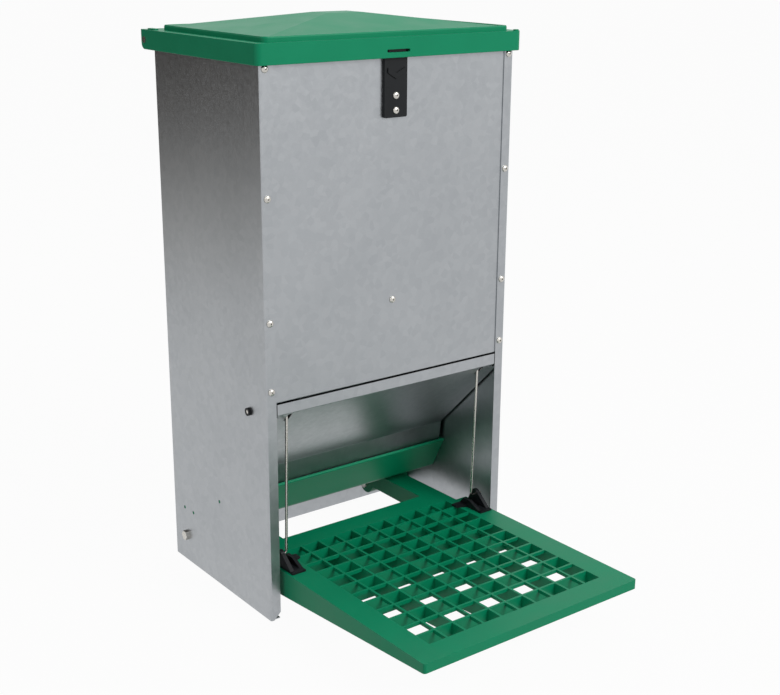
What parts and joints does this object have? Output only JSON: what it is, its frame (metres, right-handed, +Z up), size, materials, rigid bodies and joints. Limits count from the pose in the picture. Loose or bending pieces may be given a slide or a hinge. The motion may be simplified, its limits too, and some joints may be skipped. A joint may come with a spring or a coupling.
{
  "type": "treadle hopper feeder",
  "caption": "Galvanised sheet hopper feeder with a hinged lid, a feed trough behind a swinging flap, and a gridded foot treadle that pulls the flap open.",
  "frame": {"origin": "middle of the box round the whole feeder, on the ground it stands on", "axes": "+Z up, +X to the right as seen from the front, +Y towards the back panel"},
  "size_m": [0.3346, 0.4644, 0.623],
  "materials": {
    "galvanised_sheet": "hot-dip galvanised, semi-gloss",
    "zinc_steel": "zinc plated",
    "green_plastic": "moulded, satin",
    "black_plastic": "moulded, satin"
  },
  "bodies": {
    "casing": {"left_side_panel": "galvanised_sheet", "right_side_panel": "galvanised_sheet", "front_panel": "galvanised_sheet", "back_panel": "galvanised_sheet", "hopper_floor": "galvanised_sheet", "front_flange_screws": "zinc_steel", "rear_flange_screws": "zinc_steel", "hopper_floor_screw": "zinc_steel", "latch_screws": "zinc_steel", "trough": "green_plastic", "lid_hinge_rod": "zinc_steel", "latch": "black_plastic", "left_flap_bush": "black_plastic", "right_flap_bush": "black_plastic", "treadle_hinge_bolts": "zinc_steel", "treadle_hinge_washers": "zinc_steel", "treadle_hinge_nuts": "zinc_steel"},
    "lid": {"lid": "green_plastic"},
    "flap": {"flap": "galvanised_sheet", "flap_counterweight": "zinc_steel", "left_flap_pin": "zinc_steel", "right_flap_pin": "zinc_steel", "left_rod_clip": "black_plastic", "right_rod_clip": "black_plastic"},
    "treadle": {"treadle": "green_plastic", "left_treadle_bracket": "black_plastic", "right_treadle_bracket": "black_plastic"},
    "left_rod": {"left_rod": "zinc_steel"},
    "right_rod": {"right_rod": "zinc_steel"}
  },
  "joints": [
    {"name": "treadle_hinge", "type": "hinge", "parent": "casing", "child": "treadle", "pos_m": [0, 0.18885, 0.032], "axis": [1, 0, 0], "range_deg": [0, 6.2]},
    {"name": "flap_hinge", "type": "hinge", "parent": "casing", "child": "flap", "pos_m": [0, 0.04085, 0.229], "axis": [1, 0, 0], "range_deg": [0, 42]},
    {"name": "left_rod_pivot", "type": "hinge", "parent": "treadle", "child": "left_rod", "pos_m": [-0.1301, 0.02185, 0.066], "axis": [1, 0, 0], "range_deg": [-8.5, 0]},
    {"name": "right_rod_pivot", "type": "hinge", "parent": "treadle", "child": "right_rod", "pos_m": [0.1301, 0.02185, 0.066], "axis": [1, 0, 0], "range_deg": [-8.5, 0]},
    {"name": "lid_hinge", "type": "hinge", "parent": "casing", "child": "lid", "pos_m": [0, 0.22485, 0.5935], "axis": [-1, 0, 0], "range_deg": [0, 110]}
  ],
  "couplings": [
    {"joint": "flap_hinge", "follows": "treadle_hinge", "ratio": 6.757},
    {"joint": "left_rod_pivot", "follows": "treadle_hinge", "ratio": -1.237},
    {"joint": "right_rod_pivot", "follows": "treadle_hinge", "ratio": -1.237}
  ]
}
